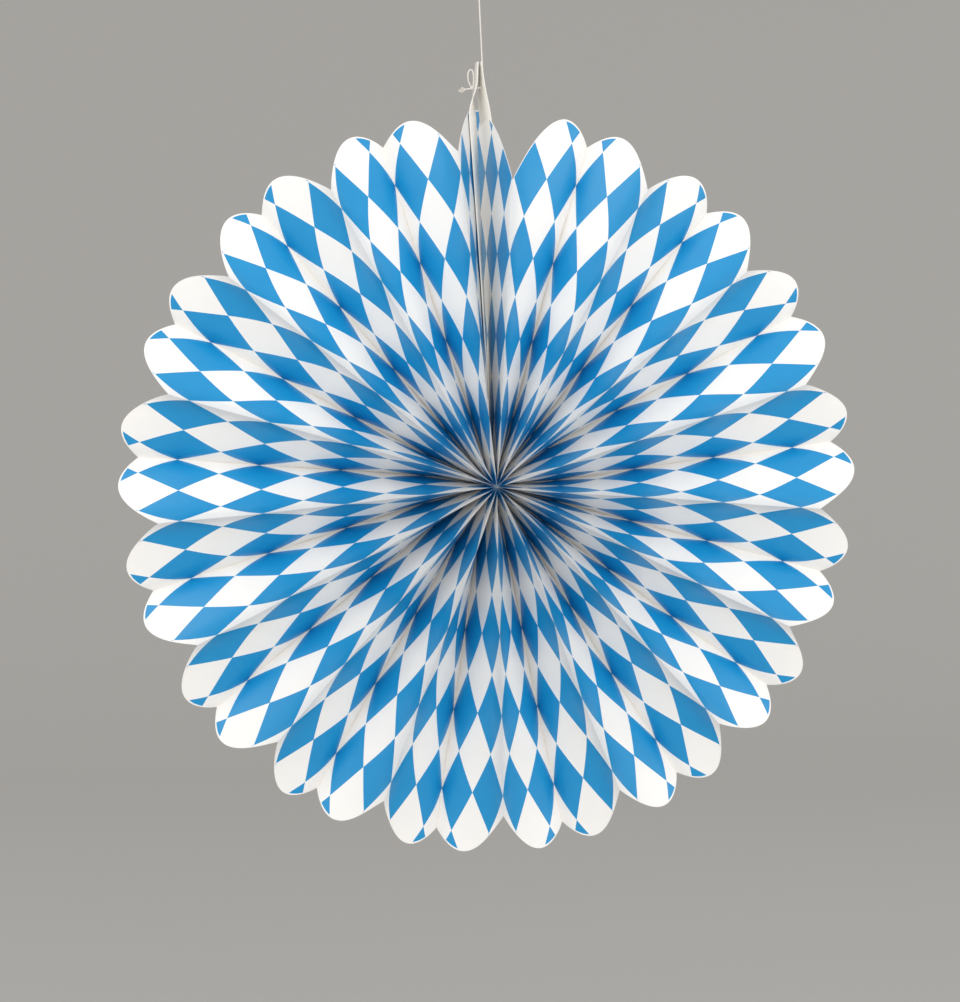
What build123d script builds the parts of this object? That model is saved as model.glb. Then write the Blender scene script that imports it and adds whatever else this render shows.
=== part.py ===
from build123d import *

import os
from math import cos, radians, sin, sqrt

# A hanging rosette folded from one printed paper sheet. Millimetres, +Z up, the face towards -Y.
# The origin is where a hook bears, inside the top of the hanging loop.

# Sheet: 17 front folds and 16 back folds, and two end panels that meet at the top
front_folds = 17
pleat_width = 68.0
paper_thickness = 0.3
front_hub_radius = 2.4
back_hub_radius = 14.0
front_notch_radius = 268.0
back_notch_radius = 283.0
rim_pleat_height = 38.5
hub_lead = 40.0
scallop_reach = 32.0
fold_depth_hold = 0.7

# How the folds spread around the hub: closer together at the bottom, as the hanging paper settles
front_fold_span_angle = 349.7
settling_angle = 3.05
settling_lean_angle = 18.5
fan_turn_angle = -0.2

# End panels at the seam: the right one is wider, and both are cut higher where the strips carry them
left_edge_angle = -1.5
right_edge_angle = -0.9
right_panel_width = 90.0
edge_rise = 20.0
right_fold_pull_angle = 1.1
right_notch_cut = 23.0
left_scallop_reach = 12.0
right_scallop_reach = 28.0
second_scallop_reach = 47.0

# White card strips that stiffen the two ends and carry the fan
strip_width = 22.0
strip_thickness = 0.8
strip_start_radius = 80.0
strip_bend_lead = 26.0
strip_tip_length = 32.0
left_tie_turn_angle = 4.0
right_tie_turn_angle = 10.0
strip_glue_gap = 1.1
strip_tip_gap = 0.8
strip_tie_spread = 5.2
strip_runs = 5
left_strip_set_in = 2.0
right_strip_set_in = 14.0
rim_lead = 45.0
hub_side = 4.0

# String: one length, through both strips, knotted beside them and tied in a loop at the top
string_diameter = 1.3
string_drop = 84.0
string_bend_radius = 1.6
string_tip_clearance = 0.5
string_lean = 3.8
tie_set_in = 21.0
tie_hole_diameter = 3.0
knot_diameter = 3.6
knot_length = 3.2
knot_bevel = 0.8
knot_seat_gap = 0.2
bow_height = 15.0
bow_width = 5.4
tail_length = 10.5
tail_droop = 0.8
loop_height = 26.0
loop_width = 12.0

os.makedirs("parts", exist_ok=True)

forward = Vector(0, -1, 0)
rows = (0.0, 1 / 3, 2 / 3, 1.0)
opening_rows = (0.0, 0.0, 1 / 3, 1.0)
strip_bend_radius = back_notch_radius + strip_bend_lead
strip_tip_radius = strip_bend_radius + strip_tip_length
tie_radius = strip_tip_radius - tie_set_in
hub_height = -string_drop - strip_tip_radius
hub_place = Vector(hub_side, 0, hub_height) + forward * rim_lead
last_fold = 2 * front_folds
fold_step = front_fold_span_angle / (last_fold - 2)
hub_step = 360 / last_fold
end_width = {0: right_panel_width, last_fold: pleat_width}


# Places around the hub
def outward(angle):
    """The direction away from the hub at a clockwise angle from straight up."""
    return Vector(sin(radians(angle)), 0, cos(radians(angle)))


def clockwise(angle):
    """The direction around the hub at that angle."""
    return Vector(cos(radians(angle)), 0, -sin(radians(angle)))


def is_front(fold):
    """Odd folds are ridges at the front; even ones are at the back or are the sheet's two ends."""
    return fold % 2 == 1


def fold_angle(fold):
    """Where a fold lies around the hub."""
    if fold == 0:
        return right_edge_angle
    if fold == last_fold:
        return 360 + left_edge_angle
    even = 180 + (fold - front_folds) * fold_step
    lean = settling_lean_angle
    gathered = settling_angle * (sin(radians(even + lean)) - sin(radians(lean)))
    pulled = right_fold_pull_angle if fold == 1 else 0
    return even + gathered + fan_turn_angle - pulled


def fold_radius(fold, row):
    """How far from the axis a fold is, from its inner end (row 0) to its notch (row 1)."""
    inner = front_hub_radius if is_front(fold) else back_hub_radius
    outer = front_notch_radius if is_front(fold) else back_notch_radius
    if fold == 1:
        outer -= right_notch_cut
    if fold in (0, last_fold):
        outer += edge_rise
    return inner + (outer - inner) * row


def fold_depth(fold, row, opening):
    """How far in front of the rim's middle plane a fold is."""
    height = pleat_width - (pleat_width - rim_pleat_height) * opening
    middle = hub_lead * (1 - row)
    if is_front(fold):
        return middle + height / 2
    if fold not in (0, last_fold):
        return middle - height / 2
    ridge = 1 if fold == 0 else last_fold - 1
    across = fold_radius(ridge, row) * radians(abs(fold_angle(fold) - fold_angle(ridge)))
    return middle + height / 2 - sqrt(end_width[fold] ** 2 - across**2)


def fold_line(fold):
    """The four points that steer a fold's curve, on the inside of the crease, evenly spread at the hub."""
    line = []
    for row, opening in zip(rows, opening_rows):
        is_gathered = row == 0 and fold not in (0, last_fold)
        angle = fold * hub_step if is_gathered else fold_angle(fold)
        across = outward(angle) * fold_radius(fold, row)
        line.append(hub_place + across + forward * fold_depth(fold, row, opening))
    return line


def along(line, row):
    """A point on a fold's curve."""
    back = 1 - row
    first, second, third, fourth = line
    return first * back**3 + second * (3 * row * back**2) + third * (3 * row**2 * back) + fourth * row**3


# Panels: each is a bicubic patch, steep at its folds and flatter between them
def panel_angle(fold):
    return (fold_angle(fold) + fold_angle(fold + 1)) / 2


def through_paper(fold):
    """The step from the printed front of the panel after a fold to its back."""
    side = -1 if is_front(fold) else 1
    return (clockwise(panel_angle(fold)) * side - forward) * paper_thickness


seam_reach = {0: right_scallop_reach, 1: second_scallop_reach, last_fold - 1: left_scallop_reach}


def panel_front(fold):
    """The steering points of a panel's front: four rows outward, each of four points across."""
    is_end = fold in (0, last_fold - 1)
    depth_hold = 1 / 3 if is_end else fold_depth_hold
    start_step = through_paper(fold) if is_front(fold) else Vector(0, 0, 0)
    end_step = through_paper(fold) if is_front(fold + 1) else Vector(0, 0, 0)
    starts = [point - start_step for point in fold_line(fold)]
    ends = [point - end_step for point in fold_line(fold + 1)]
    onward = (starts[-1] - starts[-2] + ends[-1] - ends[-2]).normalized()
    net = []
    for row, first, last in zip(rows, starts, ends):
        depth = forward * (last - first).dot(forward)
        hold = (last - first - depth) / 3 + depth * depth_hold
        reach = onward * (seam_reach.get(fold, scallop_reach) if row == 1 else 0)
        net.append([first, first + hold + reach, last - hold + reach, last])
    return net


def moved(net, step):
    return [[point + step for point in line] for line in net]


def column(net, index):
    return [line[index] for line in net]


def strip_between(one, other):
    """A narrow face that joins two edges."""
    return Face.make_bezier_surface([one, other])


def corner(*points):
    """A flat three-sided face that closes the end of a crease."""
    return Face(Wire.make_polygon(points, close=True))


sheet_faces = []
fronts = [panel_front(fold) for fold in range(last_fold)]
backs = [moved(front, through_paper(fold)) for fold, front in enumerate(fronts)]

for front, back in zip(fronts, backs):
    sheet_faces.append(Face.make_bezier_surface(front))
    sheet_faces.append(Face.make_bezier_surface(back))
    sheet_faces.append(strip_between(front[0], back[0]))
    sheet_faces.append(strip_between(front[-1], back[-1]))

for fold in range(1, last_fold):
    outer = fronts if is_front(fold) else backs
    before = column(outer[fold - 1], -1)
    after = column(outer[fold], 0)
    inner = fold_line(fold)
    sheet_faces.append(strip_between(before, after))
    sheet_faces.append(corner(before[0], after[0], inner[0]))
    sheet_faces.append(corner(before[-1], after[-1], inner[-1]))

for panel, index in ((0, 0), (last_fold - 1, -1)):
    sheet_faces.append(strip_between(column(fronts[panel], index), column(backs[panel], index)))

with BuildPart() as pleated_paper:
    add(Solid(Shell(sheet_faces)))


# End strips: each follows its end panel, then turns edge-on to meet the other at the tip
def strip_plane(edge_fold, ridge_fold, height, set_in, standoff):
    """A level plane across a strip, centred on it, with its x direction from the sheet's end to the ridge."""
    sides = []
    for distance in (set_in, set_in + strip_width):
        ridge_share = distance / end_width[edge_fold]
        shares = {edge_fold: 1 - ridge_share, ridge_fold: ridge_share}
        inner, outer = [
            sum(fold_radius(fold, row) * cos(radians(fold_angle(fold))) * shares[fold] for fold in shares)
            for row in (0, 1)
        ]
        row = (height - inner) / (outer - inner)
        sides.append(sum((along(fold_line(fold), row) * shares[fold] for fold in shares), Vector()))
    near, far = sides
    towards = Vector(far.X - near.X, far.Y - near.Y, 0).normalized()
    side = Vector(0, 0, 1).cross(towards)
    centre = (near + far) / 2 + side * (standoff + strip_thickness / 2)
    return Plane(origin=(centre.X, centre.Y, hub_height + height), x_dir=towards, z_dir=(0, 0, 1))


def end_planes(tie_centre, tip_centre, turn):
    """The level planes across a strip at the tie, where it is still a little turned, and at its edge-on tip."""
    turned = forward.rotate(Axis.Z, turn)
    return [
        Plane(origin=(tie_centre, 0, tie_height), x_dir=turned, z_dir=(0, 0, 1)),
        Plane(origin=(tip_centre, 0, hub_height + strip_tip_radius), x_dir=forward, z_dir=(0, 0, 1)),
    ]


# The right strip leans along the string, and the left one spreads from it down to the tie
loop_top = string_diameter / 2
loop_foot = loop_top - loop_height
top_knot_face = loop_foot - knot_length / 2
tie_height = hub_height + tie_radius
string_slope = string_lean / (top_knot_face - tie_height)
right_tie_centre = string_lean - string_diameter / 2 - string_tip_clearance - strip_thickness / 2
right_tip_centre = right_tie_centre - string_slope * tie_set_in
turned_rear = strip_width / 2 * (sin(radians(right_tie_turn_angle)) - sin(radians(left_tie_turn_angle)))
left_tie_centre = right_tie_centre - strip_tie_spread
left_tip_centre = right_tip_centre - strip_thickness - strip_tip_gap - turned_rear
left_standoff = strip_glue_gap
right_standoff = strip_glue_gap + paper_thickness

strip_run = strip_bend_radius - strip_start_radius
strip_heights = [strip_start_radius + strip_run * part / strip_runs for part in range(strip_runs + 1)]
left_folds = (last_fold, last_fold - 1)
right_folds = (0, 1)
left_planes = []
right_planes = []
for height in strip_heights:
    left_planes.append(strip_plane(*left_folds, height, left_strip_set_in, left_standoff))
    right_planes.append(strip_plane(*right_folds, height, right_strip_set_in, right_standoff))
left_planes += end_planes(left_tie_centre, left_tip_centre, left_tie_turn_angle)
right_planes += end_planes(right_tie_centre, right_tip_centre, right_tie_turn_angle)

with BuildPart() as left_end_strip:
    for plane in left_planes:
        with BuildSketch(plane):
            Rectangle(strip_width, strip_thickness)
    loft(ruled=True)
    with Locations((0, 0, tie_height)):
        Cylinder(tie_hole_diameter / 2, pleat_width, rotation=(0, 90, 0), mode=Mode.SUBTRACT)

with BuildPart() as right_end_strip:
    for plane in right_planes:
        with BuildSketch(plane):
            Rectangle(strip_width, strip_thickness)
    loft(ruled=True)
    with Locations((0, 0, tie_height)):
        Cylinder(tie_hole_diameter / 2, pleat_width, rotation=(0, 90, 0), mode=Mode.SUBTRACT)

# Tie: a knot on the left, with a bow above it and the cut end beside it
bow_bend_radius = bow_width * 0.4
knot_face = left_tie_centre - strip_thickness / 2 - knot_seat_gap
knot_middle = knot_face - knot_length / 2
bow_foot = tie_height + knot_diameter / 4
bow_top = tie_height + knot_diameter / 2 + bow_height
bow_side = knot_middle - bow_width + string_diameter / 2
tail_end = knot_face - knot_length - tail_length

with BuildPart() as tie_knot:
    with Locations((knot_middle, 0, tie_height)):
        Cylinder(knot_diameter / 2, knot_length, rotation=(0, 90, 0))
    chamfer(tie_knot.edges().filter_by(GeomType.CIRCLE), knot_bevel)
    with BuildLine() as bow_path:
        FilletPolyline(
            (knot_middle + string_diameter / 2, 0, bow_foot),
            (knot_middle + string_diameter / 2, 0, bow_top),
            (bow_side, 0, bow_top),
            (bow_side, 0, bow_foot + bow_bend_radius + string_diameter),
            (knot_middle, 0, bow_foot - knot_diameter / 4),
            radius=bow_bend_radius,
        )
    with BuildSketch(Plane(origin=bow_path.line @ 0, z_dir=bow_path.line % 0)):
        Circle(string_diameter / 2)
    sweep()
    with BuildLine() as tail_path:
        Line((knot_middle, 0, tie_height), (tail_end, 0, tie_height - tail_droop))
    with BuildSketch(Plane(origin=tail_path.line @ 0, z_dir=tail_path.line % 0)):
        Circle(string_diameter / 2)
    sweep()

# Hanging loop: the knot under it ends the straight string
loop_bend_radius = loop_width * 0.35

with BuildPart() as hanging_loop:
    with Locations((0, 0, loop_foot)):
        Cylinder(knot_diameter / 2, knot_length)
    chamfer(hanging_loop.edges().filter_by(GeomType.CIRCLE), knot_bevel)
    with BuildLine() as loop_path:
        FilletPolyline(
            (-string_diameter / 2, 0, loop_foot),
            (-loop_width / 2, 0, loop_top),
            (loop_width / 2, 0, loop_top),
            (string_diameter / 2, 0, loop_foot),
            radius=loop_bend_radius,
        )
    with BuildSketch(Plane(origin=loop_path.line @ 0, z_dir=loop_path.line % 0)):
        Circle(string_diameter / 2)
    sweep()

# Straight string, from the tie through both strips and up to the loop
with BuildPart() as hanging_string:
    with BuildLine() as string_path:
        FilletPolyline(
            (knot_face, 0, tie_height),
            (string_lean, 0, tie_height),
            (0, 0, top_knot_face - knot_seat_gap),
            radius=string_bend_radius,
        )
    with BuildSketch(Plane(origin=string_path.line @ 0, z_dir=string_path.line % 0)):
        Circle(string_diameter / 2)
    sweep()

print("bend radii:", {"string": string_bend_radius, "bow": bow_bend_radius, "loop": loop_bend_radius})

nodes = {
    "pleated_paper": pleated_paper,
    "left_end_strip": left_end_strip,
    "right_end_strip": right_end_strip,
    "tie_knot": tie_knot,
    "hanging_string": hanging_string,
    "hanging_loop": hanging_loop,
}

for name, node in nodes.items():
    node.part.label = name
    export_step(node.part, f"parts/{name}.step")
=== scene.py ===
"""A hanging paper fan rosette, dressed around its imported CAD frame."""

import math

import bpy
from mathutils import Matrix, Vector


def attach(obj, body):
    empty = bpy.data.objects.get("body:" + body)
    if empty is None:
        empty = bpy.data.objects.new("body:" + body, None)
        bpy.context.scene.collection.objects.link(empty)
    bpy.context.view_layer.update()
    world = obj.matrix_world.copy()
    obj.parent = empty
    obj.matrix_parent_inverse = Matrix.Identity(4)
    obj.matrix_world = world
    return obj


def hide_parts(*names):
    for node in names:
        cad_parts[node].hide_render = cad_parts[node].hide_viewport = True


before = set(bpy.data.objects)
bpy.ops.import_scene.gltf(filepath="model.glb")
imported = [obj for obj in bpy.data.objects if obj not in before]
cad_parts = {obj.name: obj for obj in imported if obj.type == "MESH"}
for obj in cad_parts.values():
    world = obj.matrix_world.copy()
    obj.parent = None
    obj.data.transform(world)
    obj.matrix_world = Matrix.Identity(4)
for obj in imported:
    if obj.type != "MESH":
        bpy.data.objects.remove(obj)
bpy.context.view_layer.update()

bl_info = {
    "name": "Paper Fan Rosette",
    "version": (1, 0, 0),
    "blender": (4, 5, 0),
    "location": "View3D > Sidebar > Paper Fan",
    "description": "Builds a pleated, printed paper fan with its card strips and string",
    "category": "Add Mesh",
}

MM = 0.001
PHOTO_WIDTH = 960
PHOTO_HEIGHT = 1002


# Sizes, counts and angles that a user would change
class FanPaperSettings(bpy.types.PropertyGroup):
    """The folded sheet, with the sizes of the CAD part."""

    front_folds: bpy.props.IntProperty(
        name="Front folds", description="Ridges that the sheet shows at the front", default=17, min=5
    )
    pleat_width: bpy.props.FloatProperty(
        name="Pleat width", description="Flat width of a panel between two folds",
        default=68 * MM, unit="LENGTH",
    )
    right_end_width: bpy.props.FloatProperty(
        name="Right end width", description="Flat width of the right end panel",
        default=90 * MM, unit="LENGTH",
    )
    thickness: bpy.props.FloatProperty(
        name="Paper thickness", description="Thickness of the sheet", default=0.25 * MM, unit="LENGTH"
    )
    front_hub_radius: bpy.props.FloatProperty(
        name="Front hub radius", description="Inner end of the front folds", default=0.3 * MM, unit="LENGTH"
    )
    back_hub_radius: bpy.props.FloatProperty(
        name="Back hub radius", description="Inner end of the back folds", default=14 * MM, unit="LENGTH"
    )
    front_notch_radius: bpy.props.FloatProperty(
        name="Front notch radius", description="Outer end of the front folds",
        default=268 * MM, unit="LENGTH",
    )
    back_notch_radius: bpy.props.FloatProperty(
        name="Back notch radius", description="Outer end of the back folds", default=283 * MM, unit="LENGTH"
    )
    rim_pleat_height: bpy.props.FloatProperty(
        name="Rim pleat height", description="Depth of the pleats at the rim",
        default=38.5 * MM, unit="LENGTH",
    )
    hub_lead: bpy.props.FloatProperty(
        name="Hub lead", description="How far the hub stands in front of the rim",
        default=40 * MM, unit="LENGTH",
    )
    rim_lead: bpy.props.FloatProperty(
        name="Rim lead", description="How far the rim stands in front of the string",
        default=45 * MM, unit="LENGTH",
    )
    hub_drop: bpy.props.FloatProperty(
        name="Hub drop", description="How far the hub is below the hook", default=425 * MM, unit="LENGTH"
    )
    hub_side: bpy.props.FloatProperty(
        name="Hub side", description="How far the hub is right of the hook", default=4 * MM, unit="LENGTH"
    )
    edge_rise: bpy.props.FloatProperty(
        name="Edge rise", description="Extra height of the sheet at its two ends",
        default=20 * MM, unit="LENGTH",
    )
    right_fold_pull: bpy.props.FloatProperty(
        name="Right fold pull", description="Turn of the first front fold towards the seam",
        default=math.radians(1.1), unit="ROTATION",
    )
    right_notch_cut: bpy.props.FloatProperty(
        name="Right notch cut", description="Extra depth of the first notch right of the seam",
        default=23 * MM, unit="LENGTH",
    )
    scallop_reach: bpy.props.FloatProperty(
        name="Scallop reach", description="Steering height of each scallop", default=32 * MM, unit="LENGTH"
    )
    left_scallop_reach: bpy.props.FloatProperty(
        name="Left scallop reach", description="The same on the left end panel",
        default=12 * MM, unit="LENGTH",
    )
    right_scallop_reach: bpy.props.FloatProperty(
        name="Right scallop reach", description="The same on the right end panel",
        default=20 * MM, unit="LENGTH",
    )
    second_scallop_reach: bpy.props.FloatProperty(
        name="Second scallop reach", description="The same on the panel after it",
        default=47 * MM, unit="LENGTH",
    )
    scallop_lean: bpy.props.FloatProperty(
        name="Scallop lean", description="Backward slope of the scallops",
        default=math.radians(8.5), unit="ROTATION",
    )
    middle_slope: bpy.props.FloatProperty(
        name="Middle slope", description="Slope of a panel's middle at the rim, as a share of a flat panel's",
        default=0.5, subtype="FACTOR",
    )
    ridge_share: bpy.props.FloatProperty(
        name="Ridge share", description="Share of the bending that is beside the front fold",
        default=0.58, subtype="FACTOR",
    )
    crimp: bpy.props.FloatProperty(
        name="Crimp", description="How close to the folds the paper bends", default=11.0
    )
    front_fold_span: bpy.props.FloatProperty(
        name="Front fold span", description="Angle from the first front fold to the last",
        default=math.radians(349.7), unit="ROTATION",
    )
    settling: bpy.props.FloatProperty(
        name="Settling", description="How far folds gather at the bottom",
        default=math.radians(3.05), unit="ROTATION",
    )
    settling_lean: bpy.props.FloatProperty(
        name="Settling lean", description="Side that the folds gather to",
        default=math.radians(18.5), unit="ROTATION",
    )
    fan_turn: bpy.props.FloatProperty(
        name="Fan turn", description="Turn of all folds around the hub",
        default=math.radians(-0.2), unit="ROTATION",
    )
    left_edge_angle: bpy.props.FloatProperty(
        name="Left edge angle", description="Where the sheet's left end lies",
        default=math.radians(-1.5), unit="ROTATION",
    )
    right_edge_angle: bpy.props.FloatProperty(
        name="Right edge angle", description="Where the sheet's right end lies",
        default=math.radians(-0.9), unit="ROTATION",
    )
    unevenness: bpy.props.FloatProperty(
        name="Unevenness", description="How far handling has moved the paper",
        default=1.2 * MM, unit="LENGTH",
    )
    steps_across: bpy.props.IntProperty(
        name="Steps across", description="Faces across one panel", default=28, min=4
    )
    steps_out: bpy.props.IntProperty(
        name="Steps out", description="Faces from the hub to the rim", default=40, min=8
    )
    hub_wobble: bpy.props.FloatProperty(
        name="Hub wobble", description="How far the folds wander near the hub",
        default=math.radians(9), unit="ROTATION",
    )
    seed: bpy.props.IntProperty(name="Seed", description="Seed of the unevenness", default=4)


class FanPrintSettings(bpy.types.PropertyGroup):
    """The lozenge print and the paper's finish."""

    lozenge_width: bpy.props.FloatProperty(
        name="Lozenge width", description="Across the pleats", default=34 * MM, unit="LENGTH"
    )
    lozenge_height: bpy.props.FloatProperty(
        name="Lozenge height", description="Along the pleats", default=66.2 * MM, unit="LENGTH"
    )
    print_offset: bpy.props.FloatProperty(
        name="Print offset", description="Length of print lost at the hub", default=11.3 * MM, unit="LENGTH"
    )
    hub_ink: bpy.props.FloatProperty(
        name="Hub ink", description="Length of plain ink where the folds meet at the hub",
        default=6 * MM, unit="LENGTH",
    )
    gather_length: bpy.props.FloatProperty(
        name="Gather length", description="How far from the hub the sheet is drawn together",
        default=10 * MM,
        unit="LENGTH",
    )
    white_margin: bpy.props.FloatProperty(
        name="White margin", description="Bare edge along the scallops", default=1.1 * MM, unit="LENGTH"
    )
    # Width of the painted highlight on each side of a front fold, where the ridge catches the light
    ridge_highlight_width: bpy.props.FloatProperty(
        name="Crease width", description="Cracked ink on each side of a fold",
        default=0.5 * MM, unit="LENGTH",
    )


class FanStripSettings(bpy.types.PropertyGroup):
    """The two card strips at the seam."""

    width: bpy.props.FloatProperty(
        name="Strip width", description="Width of a strip", default=22 * MM, unit="LENGTH"
    )
    thickness: bpy.props.FloatProperty(
        name="Strip thickness", description="Thickness of the card", default=0.8 * MM, unit="LENGTH"
    )
    start_radius: bpy.props.FloatProperty(
        name="Start radius", description="Where the strips start", default=68 * MM, unit="LENGTH"
    )
    left_bend_radius: bpy.props.FloatProperty(
        name="Left bend radius", description="Where the left strip leaves its panel",
        default=295 * MM, unit="LENGTH",
    )
    right_bend_radius: bpy.props.FloatProperty(
        name="Right bend radius", description="Where the right strip leaves its panel",
        default=270 * MM, unit="LENGTH",
    )
    tip_radius: bpy.props.FloatProperty(
        name="Tip radius", description="Where the strips end", default=341 * MM, unit="LENGTH"
    )
    standoff: bpy.props.FloatProperty(
        name="Standoff", description="From a panel to its strip", default=1.1 * MM, unit="LENGTH"
    )
    left_set_in: bpy.props.FloatProperty(
        name="Left set-in", description="From the sheet's left end to the strip",
        default=2 * MM, unit="LENGTH",
    )
    right_set_in: bpy.props.FloatProperty(
        name="Right set-in", description="From the sheet's right end to the strip",
        default=14 * MM, unit="LENGTH",
    )
    left_turn: bpy.props.FloatProperty(
        name="Left turn", description="Turn of the left strip at the tie",
        default=math.radians(4), unit="ROTATION",
    )
    right_turn: bpy.props.FloatProperty(
        name="Right turn", description="Turn of the right strip at the tie",
        default=math.radians(10), unit="ROTATION",
    )
    left_tie_place: bpy.props.FloatProperty(
        name="Left tie place", description="Left strip's middle at the tie",
        default=-2.95 * MM, unit="LENGTH",
    )
    left_tip_place: bpy.props.FloatProperty(
        name="Left tip place", description="Left strip's middle at its tip",
        default=-1.5 * MM, unit="LENGTH",
    )
    right_tie_place: bpy.props.FloatProperty(
        name="Right tie place", description="Right strip's middle at the tie",
        default=2.25 * MM, unit="LENGTH",
    )
    right_tip_place: bpy.props.FloatProperty(
        name="Right tip place", description="Right strip's middle at its tip",
        default=1.2 * MM, unit="LENGTH",
    )
    taper_length: bpy.props.FloatProperty(
        name="Taper length", description="Length of the pointed lower end", default=45 * MM, unit="LENGTH"
    )
    hole_diameter: bpy.props.FloatProperty(
        name="Tie hole", description="Diameter of the hole for the string", default=3 * MM, unit="LENGTH"
    )
    sections: bpy.props.IntProperty(name="Sections", description="Sections along a strip", default=60, min=8)


class FanStringSettings(bpy.types.PropertyGroup):
    """The string, its tie and its loop."""

    diameter: bpy.props.FloatProperty(
        name="String diameter", description="Thickness of the twisted string",
        default=1.3 * MM, unit="LENGTH",
    )
    strands: bpy.props.IntProperty(name="Strands", description="Strands twisted together", default=3, min=2)
    lay_length: bpy.props.FloatProperty(
        name="Lay length", description="Length of one full twist", default=4.5 * MM, unit="LENGTH"
    )
    tie_drop: bpy.props.FloatProperty(
        name="Tie drop", description="How far the tie is below the hook", default=105 * MM, unit="LENGTH"
    )
    knot_face: bpy.props.FloatProperty(
        name="Knot face", description="How far the tie's knot is left of the hook",
        default=3.55 * MM, unit="LENGTH",
    )
    lean: bpy.props.FloatProperty(
        name="String lean", description="How far right of the hook the string leaves the strips",
        default=3.8 * MM, unit="LENGTH",
    )
    knot_length: bpy.props.FloatProperty(
        name="Knot length", description="Length of each knot", default=3.2 * MM, unit="LENGTH"
    )
    knot_diameter: bpy.props.FloatProperty(
        name="Knot diameter", description="Thickness of each knot", default=3.6 * MM, unit="LENGTH"
    )
    loop_height: bpy.props.FloatProperty(
        name="Loop height", description="From the top knot to the loop's top",
        default=26 * MM, unit="LENGTH",
    )
    loop_width: bpy.props.FloatProperty(
        name="Loop width", description="Width of the hanging loop", default=12 * MM, unit="LENGTH"
    )
    bow_height: bpy.props.FloatProperty(
        name="Bow height", description="Height of the small bow at the tie", default=13 * MM, unit="LENGTH"
    )
    bow_width: bpy.props.FloatProperty(
        name="Bow width", description="Width of that bow", default=5.4 * MM, unit="LENGTH"
    )
    tail_length: bpy.props.FloatProperty(
        name="Tail length", description="Length of the frayed end", default=10.5 * MM, unit="LENGTH"
    )
    tail_droop: bpy.props.FloatProperty(
        name="Tail droop", description="How far the frayed end hangs", default=2.3 * MM, unit="LENGTH"
    )
    fray_swell: bpy.props.FloatProperty(
        name="Fray swell", description="How far the cut end's fibres spread",
        default=3.0 * MM, unit="LENGTH",
    )


class FanStageSettings(bpy.types.PropertyGroup):
    """The camera's angle, distance and view."""

    azimuth: bpy.props.FloatProperty(
        name="Azimuth", description="Camera's turn to the right of the fan's axis",
        default=math.radians(-5.2), unit="ROTATION",
    )
    elevation: bpy.props.FloatProperty(
        name="Elevation", description="Camera's height above the fan's axis",
        default=math.radians(2.4), unit="ROTATION",
    )
    distance: bpy.props.FloatProperty(
        name="Distance", description="From the camera to the rim's plane", default=4.0, unit="LENGTH"
    )
    view_width: bpy.props.FloatProperty(
        name="View width", description="Width of the picture at the rim's plane",
        default=774.3 * MM, unit="LENGTH",
    )


# Shared helpers
def linear(hex_colour):
    """An sRGB hex colour as linear RGBA."""
    channels = [int(hex_colour[start:start + 2], 16) / 255 for start in (1, 3, 5)]
    return [c / 12.92 if c <= 0.04045 else ((c + 0.055) / 1.055) ** 2.4 for c in channels] + [1.0]


def add_node(tree, kind, inputs=None, **settings):
    """Adds a node, sets its properties, and fills or links its inputs by name or index."""
    node = tree.nodes.new(kind)
    for name, value in settings.items():
        setattr(node, name, value)
    for key, value in (inputs or {}).items():
        if isinstance(value, bpy.types.NodeSocket):
            tree.links.new(value, node.inputs[key])
        else:
            node.inputs[key].default_value = value
    return node


def math_node(tree, operation, *values):
    """The result of one calculation on numbers."""
    return add_node(tree, "ShaderNodeMath", dict(enumerate(values)), operation=operation).outputs[0]


def mix_node(tree, share, first, second, **settings):
    """A number between two others."""
    return add_node(tree, "ShaderNodeMix", {"Factor": share, "A": first, "B": second}, **settings).outputs[0]


def vector_node(tree, operation, *values):
    """The result of one calculation on vectors."""
    node = add_node(tree, "ShaderNodeVectorMath", dict(enumerate(values)), operation=operation)
    return node.outputs["Vector"]


def scaled(tree, vector, factor):
    """A vector made longer or shorter."""
    node = add_node(tree, "ShaderNodeVectorMath", {0: vector, "Scale": factor}, operation="SCALE")
    return node.outputs["Vector"]


def new_material(name):
    """An empty node material with its output and shader."""
    material = bpy.data.materials.new(name)
    material.use_nodes = True
    tree = material.node_tree
    tree.nodes.clear()
    shader = add_node(tree, "ShaderNodeBsdfPrincipled")
    add_node(tree, "ShaderNodeOutputMaterial", {"Surface": shader.outputs["BSDF"]})
    return material, tree, shader


def link_piece(name, mesh):
    """A new object for a finished mesh, at the origin."""
    piece = bpy.data.objects.new(name, mesh)
    bpy.context.scene.collection.objects.link(piece)
    return piece


def hub_place(paper):
    """Where the fan's axis meets the rim's middle plane."""
    return Vector((paper.hub_side, -paper.rim_lead, -paper.hub_drop))


def scene_settings():
    """All groups of settings, in the order of the panel."""
    scene = bpy.context.scene
    return [getattr(scene, name) for name in SETTINGS]


# Parts of the finishes
def grain(tree, size, detail):
    """Fine noise in the piece's own space, with grains of about the given size."""
    place = add_node(tree, "ShaderNodeTexCoord").outputs["Object"]
    inputs = {"Vector": place, "Scale": 1 / size, "Detail": detail}
    return add_node(tree, "ShaderNodeTexNoise", inputs).outputs["Fac"]


def colour_mix(tree, share, first, second):
    """A colour between two others."""
    inputs = {"Factor": share, "A": first, "B": second}
    return add_node(tree, "ShaderNodeMix", inputs, data_type="RGBA").outputs["Result"]


def roughness_range(tree, texture, low, high):
    """Roughness that follows a texture."""
    inputs = {"Value": texture, "To Min": low, "To Max": high}
    return add_node(tree, "ShaderNodeMapRange", inputs).outputs["Result"]


def relief(tree, texture, strength, depth):
    """A fine bumpiness that follows a texture."""
    inputs = {"Height": texture, "Strength": strength, "Distance": depth}
    return add_node(tree, "ShaderNodeBump", inputs).outputs["Normal"]


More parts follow.
